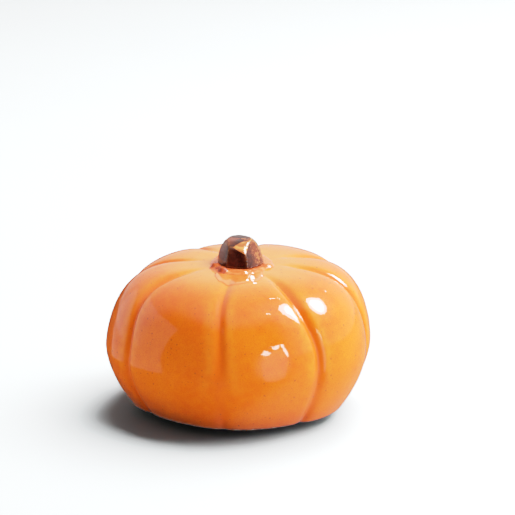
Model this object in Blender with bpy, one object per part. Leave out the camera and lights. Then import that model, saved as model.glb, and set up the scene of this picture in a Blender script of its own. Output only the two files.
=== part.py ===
"""Small glazed ceramic pumpkin.

A hollow slip-cast body with eight uneven lobes, a brown stem tenoned into its crown and bedded in
slip, and three felt pads under the foot. Metres, +Z up. The origin is on the resting surface, under
the middle of the pumpkin, and -Y is its front.
"""

from math import acos, cos, exp, pi, radians, sin

import bpy
from mathutils import Matrix, Vector

# The thin film of glue or slip between two pieces that are fixed together.
FILM = 0.0001

# Body, as the plain turned form that its lobes are pressed into.
BODY_RADIUS = 0.0200
BODY_HEIGHT = 0.0217
WAIST_HEIGHT = 0.0092
FOOT_OUTLINE_RADIUS = 0.0159
FOOT_EDGE_ROUNDING = 0.0008
FLANK_POWER = 1.65
SHOULDER_POWER = 5.0
DOME_POWER = 1.84
CROWN_DIP = 0.0003
CROWN_DIP_RADIUS = 0.37 * BODY_RADIUS

# The soft clay sagged before it was fired: the crown sits a little to one side, and the dome
# rises by these amounts from the middle to the rim at +X and at +Y.
CROWN_SHIFT = Vector((0.00045, 0.0, 0.0))
RISE_TO_SIDE = 0.0003
RISE_TO_BACK = 0.00055

# Lobes. Grooves are azimuths in degrees, 0 at the front and 90 at +X. Each groove swings aside by
# its own amount on its way over the dome. Each lobe ends at the groove with its own index, and
# swells by the amount with the same index.
GROOVES = (-148.0, -100.5, -58.0, -8.0, 37.5, 80.5, 112.5, 163.5)
GROOVE_SWING = (0.0, -5.0, -7.5, -3.5, -7.5, -4.0, 0.0, 7.0)
SWING_LEVELS = (0.0110, 0.0225)
LOBE_SWELL = (-0.00035, 0.0, 0.00035, -0.00075, -0.00045, 0.00050, 0.00035, 0.0)
LOBE_ROUNDING = 0.00045
LOBE_ROUNDING_POWER = 3
CREASE_DEPTH = 0.00050
CREASE_WIDTH = 0.00062
GROOVE_START_RADIUS = 0.25 * BODY_RADIUS
GROOVE_FULL_RADIUS = 0.72 * BODY_RADIUS

# Inside of the body, and its openings.
WALL = 0.0026
CAVITY_POWER = 2.5
VENT_RADIUS = 0.0016
FOOT_RECESS_RADIUS = 0.0060
FOOT_RECESS_DEPTH = 0.0005
SOCKET_RADIUS = 0.0019
SEAT_RADIUS = 0.0041
SEAT_DEPTH = 0.0003

# Stem, a stub with flat cuts round it, which leans to one side. Its outline is the radius at its
# corners at each share of its height.
STEM_HEIGHT = 0.0040
STEM_OUTLINE = ((0.0, 0.0037), (0.40, 0.00345), (0.84, 0.0026), (1.0, 0.0018))
STEM_LEAN = Vector((-0.00035, 0.0, 0.0))
STEM_SIDES = 7
STEM_FIRST_CORNER = radians(-36.6)
STEM_EDGE_ROUNDING = 0.00028
STEM_EDGE_ANGLE = radians(15)
TENON_LENGTH = 0.0026

# Slip joint: a washer in the seat under the stem, and the bead squeezed out round its foot. Each
# lump of the bead has its azimuth and spread in degrees, and its size. The bead's section follows
# from shares of its height: its upright side, its shoulder and how far its slopes lean in.
SLIP_THICKNESS = 0.0002
BEAD_WIDTH = 0.00030
BEAD_HEIGHT = 0.00030
BEAD_SIDE_SHARE = 0.4
BEAD_SHOULDER_SHARE = 0.8
BEAD_SLOPE_SHARE = 0.3
LUMP_RISE_SHARE = 0.6
BEAD_LUMPS = (
    (-63, 13, 0.00050),
    (-31, 12, 0.00045),
    (66, 15, 0.00045),
    (150, 25, 0.00025),
    (-140, 20, 0.00030),
)

# Felt pads.
PAD_RADIUS = 0.0030
PAD_THICKNESS = 0.0008
PAD_EDGE_ROUNDING = 0.00012
PAD_CIRCLE_RADIUS = 0.0100
PAD_AZIMUTHS = (60, 180, 300)

# Fineness of the meshes.
STEPS_PER_LOBE = 10
EDGE_STEPS = 3
FLANK_STEPS = 5
DOME_STEPS = 11
DOME_CROWDING = 1.5
CAVITY_STEPS = 9
CAVITY_SIDES = 36
ROUND_SIDES = 32

FOOT_LEVEL = PAD_THICKNESS + FILM


def clear_scene():
    for old in list(bpy.data.objects):
        bpy.data.objects.remove(old, do_unlink=True)


def material(name, colour, roughness, coat=0.0):
    made = bpy.data.materials.new(name)
    made.use_nodes = True
    shader = made.node_tree.nodes["Principled BSDF"]
    shader.inputs["Base Color"].default_value = (*colour, 1.0)
    shader.inputs["Roughness"].default_value = roughness
    shader.inputs["Metallic"].default_value = 0.0
    shader.inputs["Coat Weight"].default_value = coat
    made.diffuse_color = (*colour, 1.0)
    return made


def mesh_object(name, points, faces, look=None):
    mesh = bpy.data.meshes.new(name)
    mesh.from_pydata([tuple(point) for point in points], [], faces)
    made = bpy.data.objects.new(name, mesh)
    bpy.context.scene.collection.objects.link(made)
    if look:
        mesh.materials.append(look)
    mesh.shade_smooth()
    mesh.set_sharp_from_angle(angle=radians(40))
    return made


def rings_to_faces(ring_count, sides):
    """Faces between rings that are stacked from bottom to top, with a flat cap at each end."""
    faces = [tuple(reversed(range(sides)))]
    for ring in range(ring_count - 1):
        for side in range(sides):
            after = (side + 1) % sides
            low, high = ring * sides, (ring + 1) * sides
            faces.append((low + side, low + after, high + after, high + side))
    faces.append(tuple(range((ring_count - 1) * sides, ring_count * sides)))
    return faces


def stacked_object(name, rings, look=None):
    points = [point for ring in rings for point in ring]
    return mesh_object(name, points, rings_to_faces(len(rings), len(rings[0])), look)


def circle(radius, height, sides=ROUND_SIDES, centre=Vector((0, 0, 0))):
    turns = [2 * pi * side / sides for side in range(sides)]
    return [centre + Vector((radius * cos(turn), radius * sin(turn), height)) for turn in turns]


def cutter(name, rings):
    made = stacked_object(name, rings)
    made.hide_render = True
    made.display_type = "WIRE"
    return made


def round_cutter(name, radius, low, high, centre=Vector((0, 0, 0))):
    return cutter(name, [circle(radius, low, centre=centre), circle(radius, high, centre=centre)])


def boolean(target, other, operation="DIFFERENCE"):
    change = target.modifiers.new(other.name, "BOOLEAN")
    change.operation = operation
    change.object = other
    change.solver = "EXACT"


def smooth_step(value, low, high):
    share = min(max((value - low) / (high - low), 0.0), 1.0)
    return share * share * (3 - 2 * share)


def turned_profile():
    """(radius, height above the foot) from the foot's edge to the rim of the stem's seat."""
    profile = []
    for step in range(EDGE_STEPS):
        turn = pi / 2 * step / EDGE_STEPS
        height = FOOT_EDGE_ROUNDING * (1 - cos(turn))
        inset = FOOT_EDGE_ROUNDING * (1 - sin(turn))
        profile.append((flank_radius(height) - inset, height))
    for step in range(FLANK_STEPS):
        share = step / FLANK_STEPS
        height = FOOT_EDGE_ROUNDING + (WAIST_HEIGHT - FOOT_EDGE_ROUNDING) * share
        profile.append((flank_radius(height), height))
    for step in range(DOME_STEPS):
        share = 1 - (1 - step / DOME_STEPS) ** DOME_CROWDING
        profile.append(dome_point(pi / 2 * share))
    return profile + [seat_rim()]


def flank_radius(height):
    drop = 1 - (FOOT_OUTLINE_RADIUS / BODY_RADIUS) ** FLANK_POWER
    fall = drop * (1 - height / WAIST_HEIGHT) ** FLANK_POWER
    return BODY_RADIUS * (1 - fall) ** (1 / FLANK_POWER)


def dome_point(turn):
    radius = BODY_RADIUS * cos(turn) ** (2 / SHOULDER_POWER)
    height = WAIST_HEIGHT + (BODY_HEIGHT - WAIST_HEIGHT) * sin(turn) ** (2 / DOME_POWER)
    return radius, height - CROWN_DIP * exp(-((radius / CROWN_DIP_RADIUS) ** 2))


def seat_rim():
    """The dome's point over the edge of the seat that is sunk into the crown."""
    return dome_point(acos((SEAT_RADIUS / BODY_RADIUS) ** (SHOULDER_POWER / 2)))


def groove_direction(profile, index):
    """Away from a groove's bottom, as (along the radius, up): level up to the waist, then square
    to the dome."""
    if profile[index][1] <= WAIST_HEIGHT:
        return 1.0, 0.0
    before, after = profile[max(index - 1, 0)], profile[min(index + 1, len(profile) - 1)]
    along = Vector((after[0] - before[0], after[1] - before[1])).normalized()
    return along.y, -along.x


def lobes(height):
    """(index, start, end) of each lobe in degrees at this height, in turn from the one that ends at
    the first groove."""
    swing = smooth_step(height, *SWING_LEVELS)
    for index, groove in enumerate(GROOVES):
        start = GROOVES[index - 1] - (360 if index == 0 else 0)
        yield index, start + swing * GROOVE_SWING[index - 1], groove + swing * GROOVE_SWING[index]


def sagged(point):
    """Moves a point of the turned form to where the sagging of the clay took it."""
    above = max(point.z - WAIST_HEIGHT, 0.0) / (BODY_HEIGHT - WAIST_HEIGHT)
    rise = (RISE_TO_SIDE * point.x + RISE_TO_BACK * point.y) / BODY_RADIUS
    return point + above * (CROWN_SHIFT + Vector((0, 0, rise)))


def lobed_ring(profile, index):
    """The ring of the glazed surface that one point of the turned form becomes."""
    radius, height = profile[index]
    out, up = groove_direction(profile, index)
    spread = smooth_step(radius, GROOVE_START_RADIUS, GROOVE_FULL_RADIUS)
    ring = []
    for lobe, start, end in lobes(height):
        half_width = radians(end - start) / 2
        for step in range(STEPS_PER_LOBE):
            across = sin(pi * (step / STEPS_PER_LOBE - 0.5))
            azimuth = radians((start + end) / 2) + across * half_width
            reach = (1 - abs(across)) * half_width * radius
            inset = LOBE_ROUNDING * abs(across) ** LOBE_ROUNDING_POWER
            inset += CREASE_DEPTH * exp(-((reach / CREASE_WIDTH) ** 2))
            swell = LOBE_SWELL[lobe] * (1 - across**2)
            distance = radius + spread * (swell - inset * out)
            level = height - spread * inset * up
            place = Vector((distance * sin(azimuth), -distance * cos(azimuth), level))
            ring.append(sagged(place) + Vector((0, 0, FOOT_LEVEL)))
    return ring


def crown_level():
    """The height of the glazed surface round the stem."""
    return FOOT_LEVEL + seat_rim()[1]


def seat_level():
    return crown_level() - SEAT_DEPTH


def stem_foot_level():
    return seat_level() + SLIP_THICKNESS + 2 * FILM


def body_shell():
    glaze = material("orange_glaze", (0.80, 0.27, 0.04), 0.10, coat=1.0)
    profile = turned_profile()
    rings = [lobed_ring(profile, index) for index in range(len(profile))]
    body = stacked_object("body_shell", rings, glaze)
    recess_top = FOOT_LEVEL + FOOT_RECESS_DEPTH
    above = crown_level() + WALL
    boolean(body, cavity())
    boolean(body, round_cutter("vent_cutter", VENT_RADIUS, 0.0, recess_top + 2 * WALL))
    boolean(body, round_cutter("recess_cutter", FOOT_RECESS_RADIUS, 0.0, recess_top))
    boolean(body, round_cutter("seat_cutter", SEAT_RADIUS, seat_level(), above, CROWN_SHIFT))
    bottom = seat_level() - 2 * WALL
    boolean(body, round_cutter("socket_cutter", SOCKET_RADIUS, bottom, above, CROWN_SHIFT))
    return body


def cavity():
    """The space that the drained slip leaves, a smooth form without the lobes."""
    floor = FOOT_LEVEL + FOOT_RECESS_DEPTH + WALL
    roof = seat_level() - WALL
    radius = BODY_RADIUS - WALL - LOBE_ROUNDING - CREASE_DEPTH
    middle, half_height = (floor + roof) / 2, (roof - floor) / 2
    rings = []
    for step in range(1, CAVITY_STEPS):
        turn = pi * (step / CAVITY_STEPS - 0.5)
        level = middle + half_height * abs(sin(turn)) ** (2 / CAVITY_POWER) * (1 if turn > 0 else -1)
        rings.append(circle(radius * cos(turn) ** (2 / CAVITY_POWER), level, CAVITY_SIDES))
    return cutter("cavity_cutter", rings)


def stem_ring(radius, share):
    """A ring of the stem's corners at this share of its height."""
    centre = CROWN_SHIFT + STEM_LEAN * share
    level = stem_foot_level() + STEM_HEIGHT * share
    turns = [STEM_FIRST_CORNER + 2 * pi * side / STEM_SIDES for side in range(STEM_SIDES)]
    return [centre + Vector((radius * sin(turn), -radius * cos(turn), level)) for turn in turns]


def stem():
    """A flat-sided stub that tapers faster toward its top, with rounded edges, on a round tenon."""
    glaze = material("brown_glaze", (0.10, 0.022, 0.008), 0.12, coat=1.0)
    made = stacked_object("stem", [stem_ring(radius, share) for share, radius in STEM_OUTLINE], glaze)
    rounding = made.modifiers.new("rounded_edges", "BEVEL")
    rounding.width = STEM_EDGE_ROUNDING
    rounding.segments = 2
    rounding.limit_method = "ANGLE"
    rounding.angle_limit = STEM_EDGE_ANGLE
    inside = stem_foot_level() + STEM_HEIGHT / 3
    bottom = seat_level() - TENON_LENGTH
    tenon = round_cutter("tenon", SOCKET_RADIUS - FILM, bottom, inside, CROWN_SHIFT)
    boolean(made, tenon, "UNION")
    return made


def stem_side_radius(azimuth):
    """How far the stem's flat-cut foot reaches at this azimuth, in radians."""
    side = 2 * pi / STEM_SIDES
    from_middle = (azimuth - STEM_FIRST_CORNER) % side - side / 2
    return STEM_OUTLINE[0][1] * cos(side / 2) / cos(from_middle)


def bead_swell(azimuth):
    """How much the bead stands out beyond its usual size at this azimuth, in radians."""
    total = 0.0
    for centre, width, size in BEAD_LUMPS:
        apart = (azimuth - radians(centre) + pi) % (2 * pi) - pi
        total += size * exp(-((apart / radians(width)) ** 2))
    return total


def stem_slip_joint():
    """A closed ring: a washer in the seat, a neck round the stem's foot, and a bead over the rim."""
    slip = material("fired_slip", (0.34, 0.07, 0.015), 0.25, coat=0.8)
    low = seat_level() + FILM
    rim_rise = (RISE_TO_SIDE + RISE_TO_BACK) * SEAT_RADIUS / BODY_RADIUS
    over_rim = crown_level() + rim_rise + FILM
    bore = SOCKET_RADIUS + FILM
    wall = SEAT_RADIUS - FILM
    sides = 2 * ROUND_SIDES
    points = []
    for side in range(sides):
        azimuth = 2 * pi * side / sides
        swell = bead_swell(azimuth)
        collar = stem_side_radius(azimuth) + FILM
        reach = wall + BEAD_WIDTH + swell
        height = BEAD_HEIGHT + LUMP_RISE_SHARE * swell
        slope = BEAD_SLOPE_SHARE * height
        shoulder = over_rim + BEAD_SHOULDER_SHARE * height
        outline = (
            (bore, low),
            (wall, low),
            (wall, over_rim),
            (reach, over_rim),
            (reach, over_rim + BEAD_SIDE_SHARE * height),
            (reach - slope, shoulder),
            (wall - slope, over_rim + height),
            (collar, shoulder),
            (collar, low + SLIP_THICKNESS),
            (bore, low + SLIP_THICKNESS),
        )
        for out, level in outline:
            points.append(CROWN_SHIFT + Vector((out * sin(azimuth), -out * cos(azimuth), level)))
    count = len(outline)
    faces = []
    for side in range(sides):
        here, there = side * count, (side + 1) % sides * count
        for corner in range(count):
            after = (corner + 1) % count
            faces.append((here + corner, there + corner, there + after, here + after))
    return mesh_object("stem_slip_joint", points, faces, slip)


def felt_pad(name, azimuth, look):
    """A disc with slightly rounded edges, on the circle that the pads share."""
    centre = Vector((PAD_CIRCLE_RADIUS * sin(azimuth), -PAD_CIRCLE_RADIUS * cos(azimuth), 0))
    inset = PAD_RADIUS - PAD_EDGE_ROUNDING
    rings = [
        circle(inset, 0.0, centre=centre),
        circle(PAD_RADIUS, PAD_EDGE_ROUNDING, centre=centre),
        circle(PAD_RADIUS, PAD_THICKNESS - PAD_EDGE_ROUNDING, centre=centre),
        circle(inset, PAD_THICKNESS, centre=centre),
    ]
    return stacked_object(name, rings, look)


def centre_on_origin(pieces):
    """Moves every object sideways together, so that the lobes' outer box is centred on Z."""
    body = pieces[0].data
    middle = Matrix.Identity(4)
    for axis in (0, 1):
        reach = [vertex.co[axis] for vertex in body.vertices]
        middle[axis][3] = -(min(reach) + max(reach)) / 2
    for made in bpy.data.objects:
        made.data.transform(middle)


def main():
    clear_scene()
    felt = material("felt", (0.045, 0.035, 0.030), 0.95)
    pieces = [body_shell(), stem(), stem_slip_joint()]
    for number, azimuth in enumerate(PAD_AZIMUTHS, start=1):
        pieces.append(felt_pad(f"felt_pad_{number}", radians(azimuth), felt))
    centre_on_origin(pieces)


main()
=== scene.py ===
"""Looks of the small glazed ceramic pumpkin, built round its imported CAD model.

The fine surfaces follow the same turned form, lobes and grooves as the CAD solids, with the small
irregularities of hand work and of a thick run glaze added. Metres, +Z up, -Y the front.
"""

import math

import bpy
import numpy as np
from mathutils import Matrix, Vector, noise


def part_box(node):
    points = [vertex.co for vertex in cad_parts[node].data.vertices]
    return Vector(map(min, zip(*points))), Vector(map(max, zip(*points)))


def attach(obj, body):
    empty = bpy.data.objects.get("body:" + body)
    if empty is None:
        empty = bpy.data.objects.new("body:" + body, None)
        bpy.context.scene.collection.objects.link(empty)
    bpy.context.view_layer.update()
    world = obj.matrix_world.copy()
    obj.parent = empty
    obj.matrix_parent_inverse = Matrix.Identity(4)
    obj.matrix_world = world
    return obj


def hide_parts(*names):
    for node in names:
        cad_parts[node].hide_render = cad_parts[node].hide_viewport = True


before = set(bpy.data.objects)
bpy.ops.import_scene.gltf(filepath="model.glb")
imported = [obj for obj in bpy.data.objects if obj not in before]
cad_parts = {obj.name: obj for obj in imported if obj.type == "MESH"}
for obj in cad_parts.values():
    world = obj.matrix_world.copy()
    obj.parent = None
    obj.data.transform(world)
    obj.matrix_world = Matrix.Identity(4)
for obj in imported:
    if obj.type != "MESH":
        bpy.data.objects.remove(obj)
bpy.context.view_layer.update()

MM = 0.001

# ---------------- sizes shared with the CAD model
FILM = 0.0001
BODY_RADIUS = 0.0200
BODY_HEIGHT = 0.0217
WAIST_HEIGHT = 0.0092
FOOT_OUTLINE_RADIUS = 0.0159
FOOT_EDGE_ROUNDING = 0.0008
FLANK_POWER = 1.65
SHOULDER_POWER = 5.0
DOME_POWER = 1.84
CROWN_DIP = 0.0003
CROWN_DIP_RADIUS = 0.37 * BODY_RADIUS
CROWN_SHIFT = 0.00045
RISE_TO_SIDE = 0.0003
RISE_TO_BACK = 0.00055
GROOVES = (-148.0, -100.5, -58.0, -8.0, 37.5, 80.5, 112.5, 163.5)
GROOVE_SWING = (0.0, -5.0, -7.5, -3.5, -7.5, -4.0, 0.0, 7.0)
SWING_LEVELS = (0.0110, 0.0225)
LOBE_SWELL = (-0.00035, 0.0, 0.00035, -0.00075, -0.00045, 0.00050, 0.00035, 0.0)
LOBE_ROUNDING = 0.00045
CREASE_DEPTH = 0.00050
CREASE_WIDTH = 0.00062
GROOVE_START_RADIUS = 0.25 * BODY_RADIUS
GROOVE_FULL_RADIUS = 0.72 * BODY_RADIUS
WALL = 0.0026
CAVITY_POWER = 2.5
VENT_RADIUS = 0.0016
FOOT_RECESS_RADIUS = 0.0060
FOOT_RECESS_DEPTH = 0.0005
SOCKET_RADIUS = 0.0019
SEAT_RADIUS = 0.0041
SEAT_DEPTH = 0.0003
STEM_HEIGHT = 0.0040
STEM_LEAN = -0.00035
STEM_SIDES = 7
STEM_FIRST_CORNER = math.radians(-36.6)
STEM_OUTLINE = ((0.0, 0.0037), (0.40, 0.00345), (0.84, 0.0026), (1.0, 0.0018))
TENON_LENGTH = 0.0026
SLIP_THICKNESS = 0.0002
PADS = ("felt_pad_1", "felt_pad_2", "felt_pad_3")


def middle_of(node):
    low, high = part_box(node)
    return (np.array(low) + np.array(high)) / 2


# The body's axis and the height of its foot, as packed.
AXIS = np.mean([middle_of(pad) for pad in PADS], axis=0) * (1, 1, 0)
STEM_AXIS = AXIS + (CROWN_SHIFT, 0, 0)
FOOT_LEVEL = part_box("body_shell")[0][2]

# ---------------- camera
CAMERA_LENS = 167.8
CAMERA_SENSOR = 36.0
CAMERA_CLIP = (0.01, 20.0)
CAMERA_ELEVATION = math.radians(17.94)
CAMERA_DISTANCE = 0.3684
CAMERA_TARGET_HEIGHT = 0.0092
AIM_ABOVE_TARGET = math.radians(1.976)
AIM_BESIDE_TARGET = math.radians(0.458)

# ---------------- handwork that the CAD leaves out
# Noises of the surfaces, coarse to fine, each as its amplitude and the size of its features.
BODY_WAVES = ((0.00007, 0.0075), (0.00002, 0.0026), (0.0000035, 0.0009))
STEM_WAVES = ((0.00007, 0.0014), (0.000022, 0.0005))
SLIP_WAVES = ((0.00022, 1 / 3), (0.00008, 1 / 9))
FELT_WAVES = ((0.000025, 0.00022), (0.00002, 0.0011))
# First seeds of these noises. Each layer takes the next one, and each pad starts further on.
BODY_SEED, STEM_SEED, SLIP_SEED = 1, 5, 8
FELT_SEED, FELT_SEED_STEP = 20, 5
# The body's waves die out toward its foot, below this height, and toward its seat, between these radii.
FOOT_QUIET = 0.002
SEAT_QUIET_RADII = (0.0046, 0.0075)
STEM_FOOT_QUIET = 0.0006

# Each groove's depth and width beside the usual, and how far it closes on the lower flank.
GROOVE_DEPTH = (1.0, 1.0, 0.80, 0.58, 0.70, 0.85, 1.0, 1.0)
GROOVE_WIDTH = (1.0, 0.9, 0.95, 1.20, 1.10, 0.9, 1.0, 1.1)
GROOVE_CLOSING = (0.35, 0.30, 0.35, 0.95, 0.35, 0.40, 0.30, 0.45)
CLOSED_LEVEL = 0.0062
CLOSED_REACH = 0.0036
# A closed groove is this much shallower and wider, and holds this much less glaze.
CLOSED_SHALLOWER = 0.85
CLOSED_WIDER = 0.8
CLOSED_LESS_GLAZE = 0.6
# Glaze pools in the grooves outside these radii, and is thin on the lobes' edges beside them, up
# from these heights.
GLAZE_GROOVE_RADII = (0.45 * BODY_RADIUS, 0.85 * BODY_RADIUS)
POOL_WIDTH = 1.1
THIN_PLACE = 2.1
THIN_WIDTH = 0.0008
THIN_LEVELS = (0.004, 0.012)

# Burst blisters and fine scratches in the glaze: place right and back of the stem's axis, half size
# to the right, half size to the back and turn, in millimetres and degrees. Their flat sides all lean
# to the right and front, where the glaze ran.
GLAZE_MARKS = (
    (0.74, -4.95, 0.26, 0.50, 0),
    (1.72, -5.00, 0.18, 0.40, 0),
    (1.65, -7.20, 0.34, 0.95, 0),
    (1.70, -8.50, 0.20, 0.60, 0),
    (0.90, -8.40, 0.18, 0.45, 0),
    (1.90, -9.60, 0.40, 0.16, 0),
    (3.10, -6.20, 0.14, 0.30, 0),
    (12.50, -9.40, 0.13, 0.15, 0),
    (5.00, -13.20, 1.05, 0.018, 14),
    (3.80, -15.76, 0.38, 0.020, 9),
)
MARK_SIDE = (0.391, -0.614, 0.685)
MARK_WOBBLE = 0.35
MARK_CORE = 0.75

# The thick glaze that ran to the front of the stem: its middle from the stem's axis and its half
# sizes, in millimetres, and its height in metres.
APRON_MIDDLE = (-0.35, -5.5, 0.0)
APRON_REACH = (3.75, 4.45)
APRON_HEIGHT = 0.00010
APRON_WOBBLE = 0.06
APRON_RIM = (0.94, 1.05)
# Marks and apron are only on the crown, above these heights in millimetres.
CROWN_LEVELS = (12.0, 15.0)

# Cuts across the stem's top, its brow, its front upper corner, its right side and its foot: outward
# normal, point on it. Its right side is fuller than its left.
STEM_HEART = np.array([-0.0001, 0.0, 0.0016])
STEM_TOP = ((0.03, -0.16, 1.0), (-0.00055, 0.0, 0.00388))
STEM_BROW = ((0.01, -0.457, 0.889), (-0.00080, -0.00247, 0.00300))
STEM_CHIP = ((0.16, -0.59, 0.79), (-0.00068, -0.00252, 0.00297))
STEM_SIDE = ((0.733, -0.497, 0.463), (0.00112, -0.0010, 0.00367))
STEM_FOOT = ((0.0, 0.0, -1.0), (0.0, 0.0, 0.0))
STEM_FULLNESS = 0.00015
STEM_CRISPNESS = 24
STEM_COLUMNS = 168
STEM_ROWS = 90
STEM_TILTS = (0.02, math.radians(128))
# Only cuts that differ by more than this angle have an edge where the glaze runs thin.
EDGE_ANGLE = math.radians(25)
EDGE_WIDTH = 0.04
CHIP_NEARNESS = (0.90, 0.985)
# Azimuth and half width, in degrees, of the stem's sunny and shaded sides, which its colour paints
# lighter: painted light on the sunny side, a painted reflection on the shaded one.
SUNNY_SIDE = (72, 34)
SHADED_SIDE = (-75, 32)
TENON_ROUNDING = 0.00010

# The slip's usual outline, and its wider skirt: azimuth of its middle, half width and reach.
SLIP_EDGE_RADIUS = 0.0048
SLIP_SKIRT = (-17.0, 45.0, 0.0010)
SLIP_EDGE_THICKNESS = 0.00012
SLIP_COLUMNS = 192
SLIP_RINGS = 26
SLIP_TUCK = 0.00018
LUMP_MARGIN = 0.0003
LUMP_SPREAD = 1.1
SLIP_CLEARANCE = 0.00001
# The film is thicker by this share at the stem, and feathers out over the last share of its width,
# by this power. It climbs to the stem in a meniscus over the first share.
SLIP_THICKER_INSIDE = 0.3
SLIP_FEATHER = 0.30
SLIP_FEATHER_POWER = 0.7
SLIP_MENISCUS = 0.12
SLIP_UNDERSIDE_SHARES = (0.98, 0.6, 0.2, 0.0)
LUMP_BROWN_EDGE = (0.25, 0.5)
# Lumps of slip round the stem's foot: azimuth, distance from its axis, radius, height, brownness.
SLIP_LUMPS = (
    (-63, 0.00435, 0.00080, 0.00064, 1.0),
    (-33, 0.00505, 0.00080, 0.00060, 1.0),
    (-46, 0.00450, 0.00070, 0.00040, 1.0),
    (64, 0.00430, 0.00085, 0.00042, 0.0),
    (40, 0.00430, 0.00060, 0.00016, 0.2),
    (150, 0.00430, 0.00100, 0.00028, 0.6),
    (-140, 0.00430, 0.00090, 0.00030, 0.8),
)
PAD_COLUMNS = 120
PAD_ROUNDING_SHARE = 0.28
PAD_ROUNDING_STEPS = 5
PAD_RING_SHARES = (0.1, 0.3, 0.5, 0.7, 0.82)

# ---------------- fineness of the body's mesh
STEPS_PER_LOBE = 60
COLUMN_EVENNESS = 0.45
EDGE_STEPS = 10
FLANK_STEPS = 34
DOME_STEPS = 66
DOME_CROWDING = 1.5
CAVITY_STEPS = 18
INNER_ROUNDING = 0.00012
FOOT_EDGE_SHARES = (0.35, 0.7)
FOOT_RADII = (0.0132, 0.0115, 0.0095, 0.0075)
RECESS_RADII = (0.0048, 0.0036, 0.0026)
SEAT_RADII = (0.0026, 0.0033, 0.00395)
SEAT_WALL_LIFTS = (0.00005, 0.00015)


# ================ helpers
def smooth_step(value, low, high):
    share = np.clip((value - low) / (high - low), 0.0, 1.0)
    return share * share * (3 - 2 * share)


def bell(value, centre, width):
    return np.exp(-(((value - centre) / width) ** 2))


def wave_noise(points, size, seed):
    """Smooth noise of about -1 to 1 at each point, with features of this size."""
    offset = Vector((seed * 7.3, seed * 3.1, seed * 5.7))
    flat = points.reshape(-1, 3) / size
    values = [noise.noise(Vector(point) + offset) for point in flat]
    return np.array(values).reshape(points.shape[:-1])


def waves(points, layers, first_seed):
    """Noises laid over each other, each layer given as its amplitude and size."""
    return sum(
        amplitude * wave_noise(points, size, first_seed + number)
        for number, (amplitude, size) in enumerate(layers)
    )


def degrees_between(azimuth, middle):
    """The turn from this middle to the azimuth, from -180 to 180 degrees."""
    return (azimuth - middle + 180) % 360 - 180


def circle(radius, level, turn):
    """A level ring of points about the axis, at these azimuths."""
    flat = np.full_like(turn, level)
    return np.stack([radius * np.sin(turn), -radius * np.cos(turn), flat], axis=-1)


def make_object(name, points, faces, look, attributes=None):
    mesh = bpy.data.meshes.new(name)
    mesh.from_pydata(points.reshape(-1, 3).tolist(), [], faces)
    for attribute, values in (attributes or {}).items():
        layer = mesh.attributes.new(attribute, "FLOAT", "POINT")
        layer.data.foreach_set("value", np.asarray(values, np.float32).reshape(-1))
    mesh.materials.append(look)
    mesh.shade_smooth()
    made = bpy.data.objects.new(name, mesh)
    bpy.context.scene.collection.objects.link(made)
    return made


def ring_faces(rings, sides, closed):
    """Outward quads between rings that run from the top outward and down. A closed set also joins
    its last ring to its first, and an open one is capped."""
    faces = []
    for ring in range(rings if closed else rings - 1):
        here, there = ring * sides, (ring + 1) % rings * sides
        for side in range(sides):
            after = (side + 1) % sides
            faces.append((here + side, there + side, there + after, here + after))
    if not closed:
        faces.append(tuple(range(sides)))
        faces.append(tuple(reversed(range((rings - 1) * sides, rings * sides))))
    return faces


# ================ body
def flank_radius(height):
    drop = 1 - (FOOT_OUTLINE_RADIUS / BODY_RADIUS) ** FLANK_POWER
    fall = drop * (1 - height / WAIST_HEIGHT) ** FLANK_POWER
    return BODY_RADIUS * (1 - fall) ** (1 / FLANK_POWER)


def dome_height(radius):
    """Height of the dome over a ring of this radius."""
    rise = np.sqrt(1 - (radius / BODY_RADIUS) ** SHOULDER_POWER) ** (2 / DOME_POWER)
    dip = CROWN_DIP * np.exp(-((radius / CROWN_DIP_RADIUS) ** 2))
    return WAIST_HEIGHT + (BODY_HEIGHT - WAIST_HEIGHT) * rise - dip


def dome_point(turn):
    radius = BODY_RADIUS * np.cos(turn) ** (2 / SHOULDER_POWER)
    height = WAIST_HEIGHT + (BODY_HEIGHT - WAIST_HEIGHT) * np.sin(turn) ** (2 / DOME_POWER)
    return radius, height - CROWN_DIP * np.exp(-((radius / CROWN_DIP_RADIUS) ** 2))


SEAT_TURN = math.acos((SEAT_RADIUS / BODY_RADIUS) ** (SHOULDER_POWER / 2))
CROWN_LEVEL = FOOT_LEVEL + float(dome_point(SEAT_TURN)[1])
SEAT_LEVEL = CROWN_LEVEL - SEAT_DEPTH
STEM_FOOT_LEVEL = SEAT_LEVEL + SLIP_THICKNESS + 2 * FILM


def outer_profile():
    """Radius and height of the turned form, from the foot's edge up to the rim of the seat."""
    turn = np.linspace(0, np.pi / 2, EDGE_STEPS, endpoint=False)
    edge = FOOT_EDGE_ROUNDING * (1 - np.cos(turn))
    edge_radius = flank_radius(edge) - FOOT_EDGE_ROUNDING * (1 - np.sin(turn))
    flank = np.linspace(FOOT_EDGE_ROUNDING, WAIST_HEIGHT, FLANK_STEPS, endpoint=False)
    share = 1 - (1 - np.linspace(0, 1, DOME_STEPS)) ** DOME_CROWDING
    dome_radius, dome_level = dome_point(SEAT_TURN * share)
    radius = np.concatenate([edge_radius, flank_radius(flank), dome_radius])
    return radius, np.concatenate([edge, flank, dome_level])


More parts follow.
